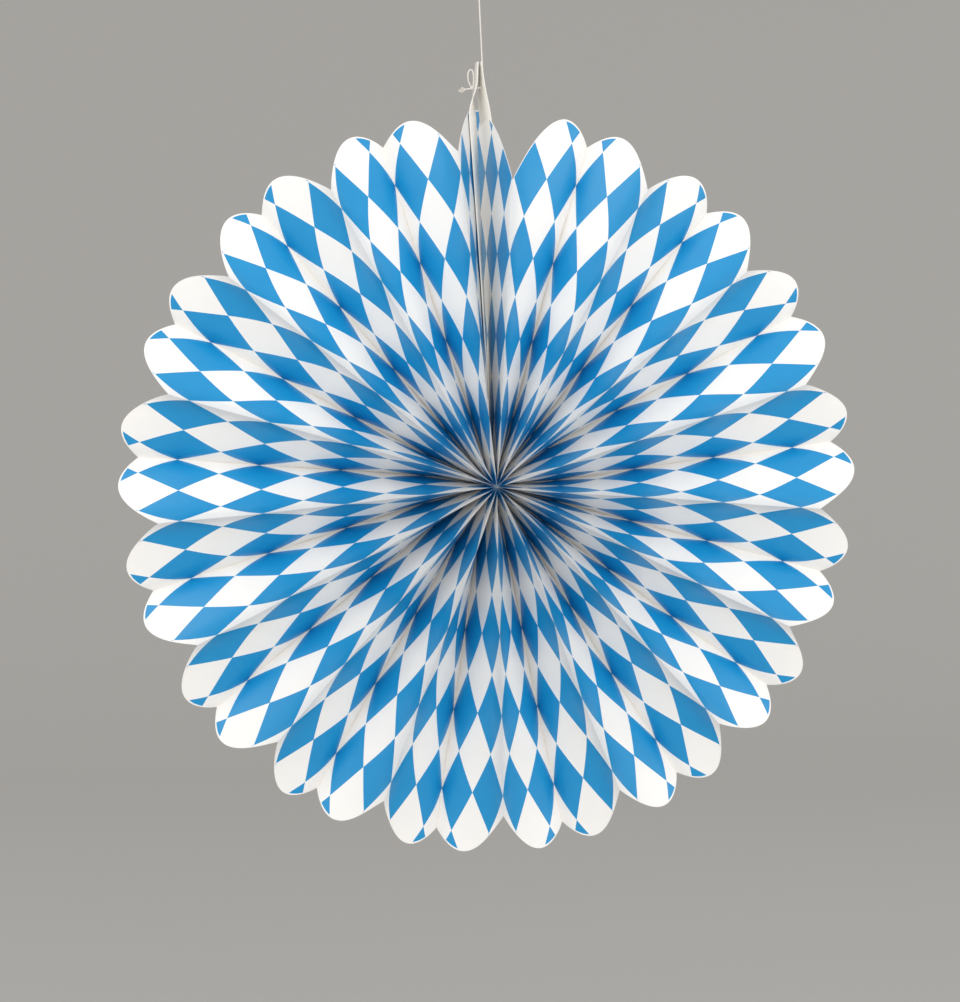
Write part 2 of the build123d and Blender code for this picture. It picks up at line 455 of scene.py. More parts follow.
def finish(tree, shader, colour, roughness, bumps):
    """Gives a shader its colour, roughness and relief."""
    tree.links.new(colour, shader.inputs["Base Color"])
    tree.links.new(roughness, shader.inputs["Roughness"])
    tree.links.new(bumps, shader.inputs["Normal"])


def flat_sheet(tree):
    """The place on the flat sheet: along its length as X, and outward from the fan's axis as Y."""
    flat = add_node(tree, "ShaderNodeUVMap", uv_map="Flat sheet").outputs["UV"]
    return add_node(tree, "ShaderNodeSeparateXYZ", {"Vector": flat}).outputs


def lozenge_share(tree, settings):
    """One inside the white lozenges of the flat sheet and zero inside the blue ones."""
    place = flat_sheet(tree)
    across = math_node(tree, "DIVIDE", place["X"], settings.lozenge_width)

    # At the hub the sheet is plain ink and then drawn together, so some of the print's length is lost there
    from_ink = math_node(tree, "SUBTRACT", place["Y"], settings.hub_ink)
    past_ink = math_node(tree, "MAXIMUM", from_ink, 0.0)
    drawn_in = math_node(tree, "DIVIDE", past_ink, -settings.gather_length)
    hidden = math_node(tree, "EXPONENT", drawn_in)
    shown = math_node(tree, "SUBTRACT", 1.0, hidden)
    lost = settings.print_offset + settings.hub_ink
    shifted = math_node(tree, "MULTIPLY_ADD", shown, lost, past_ink)
    along = math_node(tree, "DIVIDE", shifted, settings.lozenge_height)

    # Two sets of slanting stripes cross, and the colour changes at each stripe's edge
    rising = math_node(tree, "ADD", across, along)
    falling = math_node(tree, "SUBTRACT", across, along)
    rising_cell = math_node(tree, "FLOOR", rising)
    falling_cell = math_node(tree, "FLOOR", falling)
    cells = math_node(tree, "ADD", rising_cell, falling_cell)
    return math_node(tree, "FLOORED_MODULO", cells, 2.0)


def ridge_highlight_share(tree, settings):
    """Painted highlight along the front folds, where the ridges catch the light: strongest on the fold and
    none beside it.
    """
    panel_width = 2 * settings.lozenge_width
    from_first = math_node(tree, "SUBTRACT", flat_sheet(tree)["X"], panel_width)
    to_fold = math_node(tree, "PINGPONG", from_first, panel_width)
    # How far the painted ridge highlight lightens the ink right on the fold
    highlight_on_fold = 0.35
    inputs = {"Value": to_fold, "From Max": settings.ridge_highlight_width, "To Min": highlight_on_fold, "To Max": 0.0}
    return add_node(tree, "ShaderNodeMapRange", inputs).outputs["Result"]


# Finishes
def printed_paper(settings):
    """Offset-printed paper with a satin coating: flat, even ink, crisp edges and a soft sheen."""
    material, tree, shader = new_material("Satin printed paper")
    mottle = grain(tree, 14 * MM, 3.0)
    fibre = grain(tree, 1.2 * MM, 4.0)
    ink = colour_mix(tree, mottle, linear("#0f8ac5"), linear("#1592cb"))
    sheet = colour_mix(tree, mottle, linear("#f1efec"), linear("#f6f4f1"))
    edge = add_node(tree, "ShaderNodeAttribute", attribute_name="Edge distance").outputs["Fac"]
    margin = math_node(tree, "LESS_THAN", edge, settings.white_margin)
    bare = math_node(tree, "MAXIMUM", lozenge_share(tree, settings), margin)
    # Bare paper of the print and the margin, plus the painted highlight along the front ridges
    unprinted_and_highlight = math_node(tree, "MAXIMUM", bare, ridge_highlight_share(tree, settings))
    colour = colour_mix(tree, unprinted_and_highlight, ink, sheet)
    shader.inputs["Coat Weight"].default_value = 0.12
    shader.inputs["Coat Roughness"].default_value = 0.3
    satin = roughness_range(tree, mottle, 0.34, 0.42)
    finish(tree, shader, colour, satin, relief(tree, fibre, 0.25, 0.04 * MM))
    return material


def paper_back(settings):
    """The sheet's uncoated back: matte white, with the print showing through very faintly."""
    material, tree, shader = new_material("Uncoated paper back")
    fibre = grain(tree, 1.5 * MM, 5.0)
    colour = colour_mix(tree, lozenge_share(tree, settings), linear("#dfe8ee"), linear("#efedea"))
    finish(tree, shader, colour, roughness_range(tree, fibre, 0.75, 0.9), relief(tree, fibre, 0.3, 0.05 * MM))
    return material


def white_card():
    """Cut white card: matte and a little cream, with a faint grain."""
    material, tree, shader = new_material("Cut white card")
    fibre = grain(tree, 2.5 * MM, 4.0)
    colour = colour_mix(tree, fibre, linear("#e6e2da"), linear("#f1eee8"))
    finish(tree, shader, colour, roughness_range(tree, fibre, 0.6, 0.8), relief(tree, fibre, 0.3, 0.05 * MM))
    return material


def cotton_string():
    """Undyed cotton twist: rough, slightly fuzzy fibres with light and dark flecks."""
    material, tree, shader = new_material("Twisted cotton string")
    fibre = grain(tree, 0.6 * MM, 3.0)
    colour = colour_mix(tree, fibre, linear("#d8d2c8"), linear("#f4f1ec"))
    shader.inputs["Sheen Weight"].default_value = 0.3
    finish(tree, shader, colour, roughness_range(tree, fibre, 0.8, 0.95), relief(tree, fibre, 0.5, 0.08 * MM))
    return material


# The rule of the pleats, as node trees
FOLD_SIZES = (
    ("Panels", "NodeSocketFloat"),
    ("Pleat width", "NodeSocketFloat"),
    ("Right end width", "NodeSocketFloat"),
    ("Rim pleat height", "NodeSocketFloat"),
    ("Hub lead", "NodeSocketFloat"),
    ("Front hub radius", "NodeSocketFloat"),
    ("Back hub radius", "NodeSocketFloat"),
    ("Front notch radius", "NodeSocketFloat"),
    ("Back notch radius", "NodeSocketFloat"),
    ("Edge rise", "NodeSocketFloat"),
    ("Right fold pull", "NodeSocketFloat"),
    ("Right notch cut", "NodeSocketFloat"),
    ("Hub wobble", "NodeSocketFloat"),
    ("Seed", "NodeSocketInt"),
    ("Fold step", "NodeSocketFloat"),
    ("Settling", "NodeSocketFloat"),
    ("Settling lean", "NodeSocketFloat"),
    ("Fan turn", "NodeSocketFloat"),
    ("Left edge angle", "NodeSocketFloat"),
    ("Right edge angle", "NodeSocketFloat"),
    ("Left end spread", "NodeSocketFloat"),
    ("Right end spread", "NodeSocketFloat"),
)


def fold_point_tree():
    """A node group that gives the place of a fold, measured from the hub, at a share of its length."""
    tree = bpy.data.node_groups.new("Fan fold point", "GeometryNodeTree")
    for name, kind in (("Fold", "NodeSocketFloat"), ("Row", "NodeSocketFloat")) + FOLD_SIZES:
        tree.interface.new_socket(name, in_out="INPUT", socket_type=kind)
    tree.interface.new_socket("Point", in_out="OUTPUT", socket_type="NodeSocketVector")
    tree.interface.new_socket("Flat length", in_out="OUTPUT", socket_type="NodeSocketFloat")
    size = add_node(tree, "NodeGroupInput").outputs
    fold, row = size["Fold"], size["Row"]

    # Odd folds are ridges at the front, and fold 0 and the last one are the sheet's two ends
    is_front = math_node(tree, "MODULO", fold, 2.0)
    is_right = math_node(tree, "LESS_THAN", fold, 0.5)
    before_last = math_node(tree, "SUBTRACT", size["Panels"], 0.5)
    is_left = math_node(tree, "GREATER_THAN", fold, before_last)
    is_end = math_node(tree, "MAXIMUM", is_right, is_left)
    is_first = math_node(tree, "COMPARE", fold, 1.0, 0.1)

    # Angle around the hub, clockwise from the top
    middle_fold = math_node(tree, "DIVIDE", size["Panels"], 2.0)
    from_middle = math_node(tree, "SUBTRACT", fold, middle_fold)
    even = math_node(tree, "MULTIPLY_ADD", from_middle, size["Fold step"], math.pi)
    leaning = math_node(tree, "ADD", even, size["Settling lean"])
    wave = math_node(tree, "SINE", leaning)
    rest_wave = math_node(tree, "SINE", size["Settling lean"])
    gathering = math_node(tree, "SUBTRACT", wave, rest_wave)
    gathered = math_node(tree, "MULTIPLY_ADD", gathering, size["Settling"], even)
    pull = math_node(tree, "MULTIPLY", is_first, size["Right fold pull"])
    pulled = math_node(tree, "SUBTRACT", gathered, pull)
    turned = math_node(tree, "ADD", pulled, size["Fan turn"])
    end_angle = mix_node(tree, is_left, size["Right edge angle"], size["Left edge angle"])

    # Near the hub the folds wander by chance, apart from the two ends and the folds beside them
    chance = add_node(
        tree, "FunctionNodeRandomValue", {"Min": -1.0, "Max": 1.0, "ID": fold, "Seed": size["Seed"]},
        data_type="FLOAT",
    ).outputs["Value"]
    to_rim = math_node(tree, "SUBTRACT", 1.0, row)
    near_hub = math_node(tree, "POWER", to_rim, 4.0)
    loose_reach = math_node(tree, "SUBTRACT", middle_fold, 1.5)
    is_loose = math_node(tree, "COMPARE", fold, middle_fold, loose_reach)
    loose_chance = math_node(tree, "MULTIPLY", chance, is_loose)
    wander = math_node(tree, "MULTIPLY", loose_chance, near_hub)
    wandering = math_node(tree, "MULTIPLY_ADD", wander, size["Hub wobble"], turned)
    angle = mix_node(tree, is_end, wandering, end_angle)
    hub_step = math_node(tree, "DIVIDE", math.tau, size["Panels"])
    even_at_hub = math_node(tree, "MULTIPLY", fold, hub_step)
    hub_angle = mix_node(tree, is_end, even_at_hub, end_angle)

    # Distance from the axis: the folds leave the hub evenly and soon run straight outward
    hub_radius = mix_node(tree, is_front, size["Back hub radius"], size["Front hub radius"])
    even_notch = mix_node(tree, is_front, size["Back notch radius"], size["Front notch radius"])
    raised_notch = math_node(tree, "MULTIPLY_ADD", is_end, size["Edge rise"], even_notch)
    extra_cut = math_node(tree, "MULTIPLY", is_first, size["Right notch cut"])
    notch_radius = math_node(tree, "SUBTRACT", raised_notch, extra_cut)
    radius = mix_node(tree, row, hub_radius, notch_radius, clamp_factor=False)
    hub_share = math_node(tree, "POWER", to_rim, 3.0)
    hub_run = math_node(tree, "MULTIPLY", hub_radius, hub_share)
    straight_run = math_node(tree, "SUBTRACT", radius, hub_run)
    hub_side = math_node(tree, "SINE", hub_angle)
    hub_up = math_node(tree, "COSINE", hub_angle)
    side = math_node(tree, "SINE", angle)
    up = math_node(tree, "COSINE", angle)
    side_start = math_node(tree, "MULTIPLY", hub_side, hub_run)
    up_start = math_node(tree, "MULTIPLY", hub_up, hub_run)
    x = math_node(tree, "MULTIPLY_ADD", side, straight_run, side_start)
    z = math_node(tree, "MULTIPLY_ADD", up, straight_run, up_start)

    # Depth: a dish with the hub in front, and pleats that get lower as they open towards the rim
    middle = math_node(tree, "MULTIPLY", to_rim, size["Hub lead"])
    opening = math_node(tree, "MULTIPLY", row, row)
    height = mix_node(tree, opening, size["Pleat width"], size["Rim pleat height"], clamp_factor=False)
    front_or_back = math_node(tree, "SUBTRACT", is_front, 0.5)
    fold_depth = math_node(tree, "MULTIPLY_ADD", front_or_back, height, middle)

    # The two end panels are flat, so their ends lie as deep as their width allows
    spread = mix_node(tree, is_left, size["Right end spread"], size["Left end spread"])
    width = mix_node(tree, is_left, size["Right end width"], size["Pleat width"])
    ridge_cut = math_node(tree, "MULTIPLY", is_right, size["Right notch cut"])
    ridge_notch = math_node(tree, "SUBTRACT", size["Front notch radius"], ridge_cut)
    ridge_radius = mix_node(tree, row, size["Front hub radius"], ridge_notch, clamp_factor=False)
    across = math_node(tree, "MULTIPLY", ridge_radius, spread)
    across_squared = math_node(tree, "MULTIPLY", across, across)
    width_squared = math_node(tree, "MULTIPLY", width, width)
    drop_squared = math_node(tree, "SUBTRACT", width_squared, across_squared)
    drop = math_node(tree, "SQRT", drop_squared)
    ridge_depth = math_node(tree, "MULTIPLY_ADD", height, 0.5, middle)
    end_depth = math_node(tree, "SUBTRACT", ridge_depth, drop)
    depth = mix_node(tree, is_end, fold_depth, end_depth)
    y = math_node(tree, "MULTIPLY", depth, -1.0)
    point = add_node(tree, "ShaderNodeCombineXYZ", {"X": x, "Y": y, "Z": z})

    # Length along the flat sheet, from the fan's axis
    level_length = math_node(tree, "SUBTRACT", notch_radius, hub_radius)
    slant = add_node(tree, "ShaderNodeCombineXYZ", {"X": level_length, "Y": size["Hub lead"]})
    slant_length = add_node(
        tree, "ShaderNodeVectorMath", {0: slant.outputs["Vector"]}, operation="LENGTH"
    ).outputs["Value"]
    flat_length = math_node(tree, "MULTIPLY_ADD", slant_length, row, hub_radius)
    add_node(tree, "NodeGroupOutput", {"Point": point.outputs["Vector"], "Flat length": flat_length})
    return tree


SHEET_SIZES = (
    ("Steps across", "NodeSocketInt"),
    ("Steps out", "NodeSocketInt"),
    ("Hub place", "NodeSocketVector"),
    ("Scallop reach", "NodeSocketFloat"),
    ("Left scallop reach", "NodeSocketFloat"),
    ("Right scallop reach", "NodeSocketFloat"),
    ("Second scallop reach", "NodeSocketFloat"),
    ("Scallop lean", "NodeSocketFloat"),
    ("Middle slope", "NodeSocketFloat"),
    ("Ridge share", "NodeSocketFloat"),
    ("Crimp", "NodeSocketFloat"),
    ("Unevenness", "NodeSocketFloat"),
    ("Paper", "NodeSocketMaterial"),
)


def pleated_sheet_tree():
    """A node tree that folds one flat grid into the rosette and keeps its flat place as a UV map."""
    fold_point = fold_point_tree()
    tree = bpy.data.node_groups.new("Fan pleated sheet", "GeometryNodeTree")
    for name, kind in FOLD_SIZES + SHEET_SIZES:
        tree.interface.new_socket(name, in_out="INPUT", socket_type=kind)
    tree.interface.new_socket("Geometry", in_out="OUTPUT", socket_type="NodeSocketGeometry")
    size = add_node(tree, "NodeGroupInput").outputs

    # The flat grid: one unit to a panel along X, and one unit from the hub to the rim along Y
    columns = math_node(tree, "MULTIPLY", size["Panels"], size["Steps across"])
    corners_across = math_node(tree, "ADD", columns, 1.0)
    corners_out = math_node(tree, "ADD", size["Steps out"], 1.0)
    grid = add_node(
        tree, "GeometryNodeMeshGrid",
        {"Size X": size["Panels"], "Size Y": 1.0, "Vertices X": corners_across, "Vertices Y": corners_out},
    )
    place = add_node(tree, "GeometryNodeInputPosition").outputs["Position"]
    flat = add_node(tree, "ShaderNodeSeparateXYZ", {"Vector": place}).outputs
    row = math_node(tree, "ADD", flat["Y"], 0.5)
    half = math_node(tree, "DIVIDE", size["Panels"], 2.0)
    unit = math_node(tree, "ADD", flat["X"], half)
    rounded_up = math_node(tree, "ADD", unit, 0.001)
    cell = math_node(tree, "FLOOR", rounded_up)
    last_panel = math_node(tree, "SUBTRACT", size["Panels"], 1.0)
    panel = math_node(tree, "MINIMUM", cell, last_panel)
    share = math_node(tree, "SUBTRACT", unit, panel)
    next_fold = math_node(tree, "ADD", panel, 1.0)
    sizes = {name: size[name] for name, kind in FOLD_SIZES}
    first = add_node(tree, "GeometryNodeGroup", node_tree=fold_point)
    last = add_node(tree, "GeometryNodeGroup", node_tree=fold_point)
    for node, fold in ((first, panel), (last, next_fold)):
        for name, value in dict(sizes, Fold=fold, Row=row).items():
            tree.links.new(value, node.inputs[name])

    # Between two folds: towards the rim the middle lies flatter and the paper bends sharply beside the folds
    before_panel = math_node(tree, "SUBTRACT", last_panel, 0.5)
    is_left = math_node(tree, "GREATER_THAN", panel, before_panel)
    is_right = math_node(tree, "LESS_THAN", panel, 0.5)
    is_end = math_node(tree, "MAXIMUM", is_right, is_left)
    is_free = math_node(tree, "SUBTRACT", 1.0, is_end)
    free_row = math_node(tree, "MULTIPLY", row, is_free)
    rest = math_node(tree, "SUBTRACT", 1.0, share)
    bulge = math_node(tree, "MULTIPLY", share, rest)
    arch = math_node(tree, "MULTIPLY", bulge, 3.0)
    from_ridge = math_node(tree, "MODULO", panel, 2.0)
    valley_share = math_node(tree, "SUBTRACT", 1.0, size["Ridge share"])
    start_share = mix_node(tree, from_ridge, valley_share, size["Ridge share"])
    rest_power = math_node(tree, "POWER", rest, size["Crimp"])
    start_bend = math_node(tree, "SUBTRACT", 1.0, rest_power)
    finish_bend = math_node(tree, "POWER", share, size["Crimp"])
    bent = mix_node(tree, start_share, finish_bend, start_bend)
    crimped = mix_node(tree, size["Middle slope"], bent, share)
    deep = mix_node(tree, free_row, share, crimped)
    span = vector_node(tree, "SUBTRACT", last.outputs["Point"], first.outputs["Point"])
    weights = add_node(tree, "ShaderNodeCombineXYZ", {"X": share, "Y": deep, "Z": share}).outputs["Vector"]
    folded = vector_node(tree, "MULTIPLY_ADD", span, weights, first.outputs["Point"])

    # Scallops: the middle of each panel reaches further out, most of all at the rim
    both = vector_node(tree, "ADD", last.outputs["Point"], first.outputs["Point"])
    level = vector_node(tree, "MULTIPLY", both, (1.0, 0.0, 1.0))
    outward = vector_node(tree, "NORMALIZE", level)
    lean_back = math_node(tree, "TANGENT", size["Scallop lean"])
    backward = add_node(tree, "ShaderNodeCombineXYZ", {"Y": lean_back}).outputs["Vector"]
    onward = vector_node(tree, "ADD", outward, backward)
    row_cubed = math_node(tree, "POWER", row, 3.0)
    arch_out = math_node(tree, "MULTIPLY", arch, row_cubed)
    left_or_not = mix_node(tree, is_left, size["Scallop reach"], size["Left scallop reach"])
    right_or_not = mix_node(tree, is_right, left_or_not, size["Right scallop reach"])
    is_second = math_node(tree, "COMPARE", panel, 1.0, 0.1)
    full_reach = mix_node(tree, is_second, right_or_not, size["Second scallop reach"])
    reach = math_node(tree, "MULTIPLY", arch_out, full_reach)
    step_out = scaled(tree, onward, reach)
    scalloped = vector_node(tree, "ADD", folded, step_out)

    # Handling: smooth, seeded unevenness that grows towards the rim, none where the strips are glued
    waves = add_node(
        tree, "ShaderNodeTexNoise",
        {"Vector": scalloped, "W": size["Seed"], "Scale": 1 / (90 * MM), "Detail": 1.0},
        noise_dimensions="4D",
    ).outputs["Color"]
    centred = vector_node(tree, "SUBTRACT", waves, (0.5, 0.5, 0.5))
    amount = math_node(tree, "MULTIPLY", free_row, size["Unevenness"])
    noise_gain = 4.0
    full_amount = math_node(tree, "MULTIPLY", amount, noise_gain)
    moved = scaled(tree, centred, full_amount)
    uneven = vector_node(tree, "ADD", scalloped, moved)
    hung = vector_node(tree, "ADD", uneven, size["Hub place"])

    # Flat place of each point: how much of the panel's curve lies before it, and its distance from the axis
    span_parts = add_node(tree, "ShaderNodeSeparateXYZ", {"Vector": span}).outputs
    deep_part = math_node(tree, "MULTIPLY", span_parts["Y"], span_parts["Y"])
    length = add_node(tree, "ShaderNodeVectorMath", {0: span}, operation="LENGTH").outputs["Value"]
    whole_part = math_node(tree, "MULTIPLY", length, length)
    steepness = math_node(tree, "DIVIDE", deep_part, whole_part)
    curve_share = mix_node(tree, steepness, share, deep)
    panel_place = math_node(tree, "ADD", panel, curve_share)
    flat_x = math_node(tree, "MULTIPLY", panel_place, size["Pleat width"])
    to_ridge = math_node(tree, "SUBTRACT", 1.0, curve_share)
    end_run = math_node(tree, "MULTIPLY", to_ridge, size["Right end width"])
    end_x = math_node(tree, "SUBTRACT", size["Pleat width"], end_run)
    u = mix_node(tree, is_right, flat_x, end_x)
    before_reach = mix_node(tree, share, first.outputs["Flat length"], last.outputs["Flat length"])
    v = math_node(tree, "ADD", before_reach, reach)
    flat_place = add_node(tree, "ShaderNodeCombineXYZ", {"X": u, "Y": v}).outputs["Vector"]
    kept = add_node(
        tree, "GeometryNodeStoreNamedAttribute",
        {"Geometry": grid.outputs["Mesh"], "Name": "Flat sheet", "Value": flat_place},
        data_type="FLOAT2", domain="CORNER",
    ).outputs["Geometry"]
    from_rim = math_node(tree, "SUBTRACT", 1.0, row)
    edge_distance = math_node(tree, "MULTIPLY", from_rim, size["Front notch radius"])
    edged = add_node(
        tree, "GeometryNodeStoreNamedAttribute",
        {"Geometry": kept, "Name": "Edge distance", "Value": edge_distance},
        data_type="FLOAT", domain="POINT",
    ).outputs["Geometry"]
    shaped = add_node(tree, "GeometryNodeSetPosition", {"Geometry": edged, "Position": hung})
    real = add_node(tree, "GeometryNodeRealizeInstances", {"Geometry": shaped.outputs["Geometry"]})
    finished = add_node(
        tree, "GeometryNodeSetMaterial", {"Geometry": real.outputs["Geometry"], "Material": size["Paper"]}
    )
    add_node(tree, "NodeGroupOutput", {"Geometry": finished.outputs["Geometry"]})
    return tree


def fold_angle(paper, fold):
    """Where a fold lies around the hub, clockwise from the top."""
    panels = 2 * paper.front_folds
    step = paper.front_fold_span / (panels - 2)
    even = math.pi + (fold - paper.front_folds) * step
    gathered = paper.settling * (math.sin(even + paper.settling_lean) - math.sin(paper.settling_lean))
    pulled = paper.right_fold_pull if fold == 1 else 0
    return even + gathered + paper.fan_turn - pulled


def baked_mesh(name, tree, values):
    """The plain mesh that a node tree gives with these named inputs."""
    maker = link_piece(name, bpy.data.meshes.new(name))
    modifier = maker.modifiers.new(name, "NODES")
    modifier.node_group = tree
    for item in tree.interface.items_tree:
        if item.in_out == "INPUT" and item.name in values:
            modifier[item.identifier] = values[item.name]
    shaped = maker.evaluated_get(bpy.context.evaluated_depsgraph_get())
    mesh = bpy.data.meshes.new_from_object(shaped)
    maker.modifiers.remove(modifier)
    bpy.data.objects.remove(maker)
    mesh.name = name
    return mesh


class FAN_OT_pleated_paper(bpy.types.Operator):
    """Fold the printed sheet into its rosette"""

    bl_idname = "fan.pleated_paper"
    bl_label = "Pleated Paper"

    def execute(self, context):
        paper, print_settings = scene_settings()[:2]
        panels = 2 * paper.front_folds
        tree = pleated_sheet_tree()
        front = printed_paper(print_settings)
        values = {
            "Panels": float(panels),
            "Pleat width": paper.pleat_width,
            "Right end width": paper.right_end_width,
            "Rim pleat height": paper.rim_pleat_height,
            "Hub lead": paper.hub_lead,
            "Front hub radius": paper.front_hub_radius,
            "Back hub radius": paper.back_hub_radius,
            "Front notch radius": paper.front_notch_radius,
            "Back notch radius": paper.back_notch_radius,
            "Edge rise": paper.edge_rise,
            "Right fold pull": paper.right_fold_pull,
            "Right notch cut": paper.right_notch_cut,
            "Hub wobble": paper.hub_wobble,
            "Fold step": paper.front_fold_span / (panels - 2),
            "Settling": paper.settling,
            "Settling lean": paper.settling_lean,
            "Fan turn": paper.fan_turn,
            "Left edge angle": paper.left_edge_angle,
            "Right edge angle": paper.right_edge_angle,
            "Left end spread": math.tau + paper.left_edge_angle - fold_angle(paper, panels - 1),
            "Right end spread": fold_angle(paper, 1) - paper.right_edge_angle,
            "Steps across": paper.steps_across,
            "Steps out": paper.steps_out,
            "Hub place": hub_place(paper),
            "Scallop reach": paper.scallop_reach,
            "Left scallop reach": paper.left_scallop_reach,
            "Right scallop reach": paper.right_scallop_reach,
            "Second scallop reach": paper.second_scallop_reach,
            "Scallop lean": paper.scallop_lean,
            "Middle slope": paper.middle_slope,
            "Ridge share": paper.ridge_share,
            "Crimp": paper.crimp,
            "Unevenness": paper.unevenness,
            "Seed": paper.seed,
            "Paper": front,
        }
        mesh = baked_mesh("folded_grid", tree, values)
        mesh.materials.append(paper_back(print_settings))
        maker = link_piece("folded_grid", mesh)
        wall = maker.modifiers.new("Paper thickness", "SOLIDIFY")
        wall.thickness = paper.thickness
        wall.offset = -1.0
        wall.material_offset = 1
        solid = bpy.data.meshes.new_from_object(maker.evaluated_get(context.evaluated_depsgraph_get()))
        bpy.data.objects.remove(maker)
        solid.name = "pleated_sheet"
        solid.shade_smooth()
        solid.set_sharp_from_angle(angle=math.radians(28))
        piece = link_piece("pleated_sheet", solid)
        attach(piece, "root")
        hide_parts("pleated_paper")
        return {"FINISHED"}


# Card strips
def seam_point(paper, is_left, ridge_share, row):
    """A point of an end panel, from the sheet's end (share 0) to its ridge (share 1), away from the hub."""
    ridge_fold = 2 * paper.front_folds - 1 if is_left else 1
    ridge_angle = fold_angle(paper, ridge_fold) - (math.tau if is_left else 0)
    end_angle = paper.left_edge_angle if is_left else paper.right_edge_angle
    width = paper.pleat_width if is_left else paper.right_end_width
    ridge_notch = paper.front_notch_radius - (0 if is_left else paper.right_notch_cut)
    end_notch = paper.back_notch_radius + paper.edge_rise
    ridge_radius = paper.front_hub_radius + (ridge_notch - paper.front_hub_radius) * row
    end_radius = paper.back_hub_radius + (end_notch - paper.back_hub_radius) * row
    height = paper.pleat_width + (paper.rim_pleat_height - paper.pleat_width) * row**2
    ridge_depth = paper.hub_lead * (1 - row) + height / 2
    end_depth = ridge_depth - math.sqrt(width**2 - (ridge_radius * (ridge_angle - end_angle)) ** 2)
    ridge = Vector((math.sin(ridge_angle) * ridge_radius, -ridge_depth, math.cos(ridge_angle) * ridge_radius))
    end = Vector((math.sin(end_angle) * end_radius, -end_depth, math.cos(end_angle) * end_radius))
    return end.lerp(ridge, ridge_share) + hub_place(paper)


def panel_section(paper, strip, is_left, radius):
    """The middle and the direction of a strip's level section where it lies on its end panel."""
    set_in = strip.left_set_in if is_left else strip.right_set_in
    width = paper.pleat_width if is_left else paper.right_end_width
    standoff = strip.standoff + strip.thickness / 2 + (0 if is_left else paper.thickness)
    level = radius - paper.hub_drop
    sides = []
    for distance in (set_in, set_in + strip.width):
        low = seam_point(paper, is_left, distance / width, 0)
        high = seam_point(paper, is_left, distance / width, 1)
        sides.append(seam_point(paper, is_left, distance / width, (level - low.z) / (high.z - low.z)))
    near, far = sides
    towards = Vector((far.x - near.x, far.y - near.y, 0)).normalized()
    middle = (near + far) / 2 + Vector((0, 0, 1)).cross(towards) * standoff
    return Vector((middle.x, middle.y, level)), towards


def strip_section(paper, strip, is_left, radius, tie_radius):
    """The same along the whole strip: past its panel it turns edge-on towards the tip."""
    middle, towards = panel_section(paper, strip, is_left, radius)
    bend_radius = strip.left_bend_radius if is_left else strip.right_bend_radius
    if radius <= bend_radius:
        return middle, towards
    tie_place = strip.left_tie_place if is_left else strip.right_tie_place
    tip_place = strip.left_tip_place if is_left else strip.right_tip_place
    to_tip = (strip.tip_radius - radius) / (strip.tip_radius - tie_radius)
    turn = (strip.left_turn if is_left else strip.right_turn) * to_tip
    part = min(1, (radius - bend_radius) / (tie_radius + 6 * MM - bend_radius))
    ease = part * part * (3 - 2 * part)
    middle = middle.lerp(Vector((tip_place + (tie_place - tip_place) * to_tip, 0, middle.z)), ease)
    towards = towards.lerp(Vector((math.sin(turn), -math.cos(turn), 0)), ease).normalized()
    return middle, towards


def strip_mesh(name, paper, strip, is_left, tie_radius):
    """A strip of card with softened edges, pointed at its lower end."""
    corners = []
    half = strip.thickness / 2
    soft = half / 2
    length = strip.tip_radius - strip.start_radius
    for step in range(strip.sections + 1):
        radius = strip.start_radius + length * step / strip.sections
        middle, towards = strip_section(paper, strip, is_left, radius, tie_radius)
        across = Vector((0, 0, 1)).cross(towards)
        rear = -strip.width / 2
        kept = min(1, (radius - strip.start_radius) / strip.taper_length + 0.06)
        front = rear + strip.width * kept
        for along, side in (
            (front, half - soft), (front - soft, half), (rear + soft, half), (rear, half - soft),
            (rear, soft - half), (rear + soft, -half), (front - soft, -half), (front, soft - half),
        ):
            corners.append(middle + towards * along + across * side)
    ring = 8
    faces = []
    for step in range(strip.sections):
        for index in range(ring):
            after = (index + 1) % ring
            low = step * ring
            faces.append((low + index, low + after, low + ring + after, low + ring + index))
    faces.append(tuple(reversed(range(ring))))
    faces.append(tuple(range(strip.sections * ring, (strip.sections + 1) * ring)))
    mesh = bpy.data.meshes.new(name)
    mesh.from_pydata(corners, [], faces)
    return mesh


def punched(mesh, place, diameter, depth):
    """The mesh with a round hole along X."""
    maker = link_piece(mesh.name, mesh)
    sides = 24
    turns = [math.tau * side / sides for side in range(sides)]
    rim = [(math.cos(turn) * diameter / 2, math.sin(turn) * diameter / 2) for turn in turns]
    corners = [place + Vector((x, y, z)) for x in (-depth, depth) for y, z in rim]
    faces = [(i, (i + 1) % sides, sides + (i + 1) % sides, sides + i) for i in range(sides)]
    faces += [tuple(reversed(range(sides))), tuple(range(sides, 2 * sides))]
    punch_mesh = bpy.data.meshes.new("punch")
    punch_mesh.from_pydata(corners, [], faces)
    punch = link_piece("punch", punch_mesh)
    cut = maker.modifiers.new("Tie hole", "BOOLEAN")
    cut.object = punch
    cut.solver = "MANIFOLD"
    bpy.context.view_layer.update()
    result = bpy.data.meshes.new_from_object(maker.evaluated_get(bpy.context.evaluated_depsgraph_get()))
    bpy.data.objects.remove(maker)
    bpy.data.objects.remove(punch)
    return result


